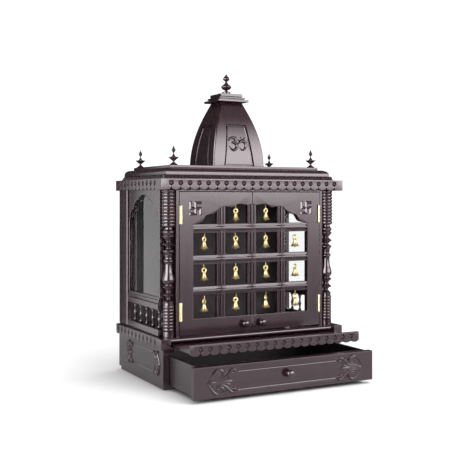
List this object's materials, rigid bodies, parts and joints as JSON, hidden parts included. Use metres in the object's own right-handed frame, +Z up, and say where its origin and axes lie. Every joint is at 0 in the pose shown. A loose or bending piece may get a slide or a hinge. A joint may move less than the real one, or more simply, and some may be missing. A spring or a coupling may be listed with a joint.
{
  "type": "household altar cabinet",
  "caption": "Household altar cabinet of dark wood: domed roof with finials, hinged lattice doors hung with brass bells, turned columns, arched side windows, pull-out tray and drawer.",
  "frame": {"origin": "centre of the cabinet's underside", "axes": "+X to the right seen from the front, +Y to the back, +Z up"},
  "size_m": [0.6246, 0.5733, 0.9436],
  "materials": {
    "mahogany": "dark mahogany stain under semi-gloss varnish",
    "inner_wood": "near-black painted wood",
    "bell_brass": "polished",
    "hinge_brass": "lacquered",
    "window_glass": "clear"
  },
  "bodies": {
    "cabinet": {"back_panel": "mahogany", "base_back_panel": "mahogany", "base_bottom_board": "mahogany", "base_side_left": "mahogany", "base_side_right": "mahogany", "column_left": "mahogany", "column_right": "mahogany", "corner_finial_back_left": "mahogany", "corner_finial_back_right": "mahogany", "corner_finial_front_left": "mahogany", "corner_finial_front_right": "mahogany", "cornice_boards": "mahogany", "cornice_moulding": "mahogany", "cornice_top_board": "mahogany", "deck_board": "mahogany", "dome": "mahogany", "dome_cap": "mahogany", "dome_finial": "mahogany", "door_frame": "mahogany", "hinge_left_lower": "hinge_brass", "hinge_left_upper": "hinge_brass", "hinge_right_lower": "hinge_brass", "hinge_right_upper": "hinge_brass", "om_ornament": "mahogany", "roof_board": "mahogany", "side_balustrade_left": "mahogany", "side_balustrade_right": "mahogany", "side_frame_left": "mahogany", "side_frame_right": "mahogany", "side_glass_left": "window_glass", "side_glass_right": "window_glass", "skirt_left": "mahogany", "skirt_right": "mahogany"},
    "door_left": {"bell_row1_column2": "bell_brass", "bell_row2_column1": "bell_brass", "bell_row2_column2": "bell_brass", "bell_row3_column1": "bell_brass", "bell_row3_column2": "bell_brass", "bell_row4_column1": "bell_brass", "bell_row4_column2": "bell_brass", "door_knob_left": "mahogany", "door_left": "mahogany", "swastik_left": "mahogany"},
    "door_right": {"bell_row1_column3": "bell_brass", "bell_row2_column3": "bell_brass", "bell_row2_column4": "bell_brass", "bell_row3_column3": "bell_brass", "bell_row3_column4": "bell_brass", "bell_row4_column3": "bell_brass", "bell_row4_column4": "bell_brass", "door_knob_right": "mahogany", "door_right": "mahogany", "swastik_right": "mahogany"},
    "tray": {"tray_board": "inner_wood", "tray_fascia": "mahogany"},
    "drawer": {"drawer_box": "inner_wood", "drawer_front": "mahogany", "drawer_knob": "mahogany", "drawer_scroll_left": "mahogany", "drawer_scroll_right": "mahogany"}
  },
  "joints": [
    {"name": "door_left_hinge", "type": "hinge", "parent": "cabinet", "child": "door_left", "pos_m": [-0.23625, -0.1677, 0.1505], "axis": [0, 0, 1], "range_deg": [-110, 0]},
    {"name": "door_right_hinge", "type": "hinge", "parent": "cabinet", "child": "door_right", "pos_m": [0.23625, -0.1677, 0.1505], "axis": [0, 0, 1], "range_deg": [0, 110]},
    {"name": "tray_slide", "type": "slide", "parent": "cabinet", "child": "tray", "axis": [0, -1, 0], "range_m": [-0.132, 0.05]},
    {"name": "drawer_slide", "type": "slide", "parent": "cabinet", "child": "drawer", "axis": [0, -1, 0], "range_m": [-0.1727, 0.07]}
  ]
}
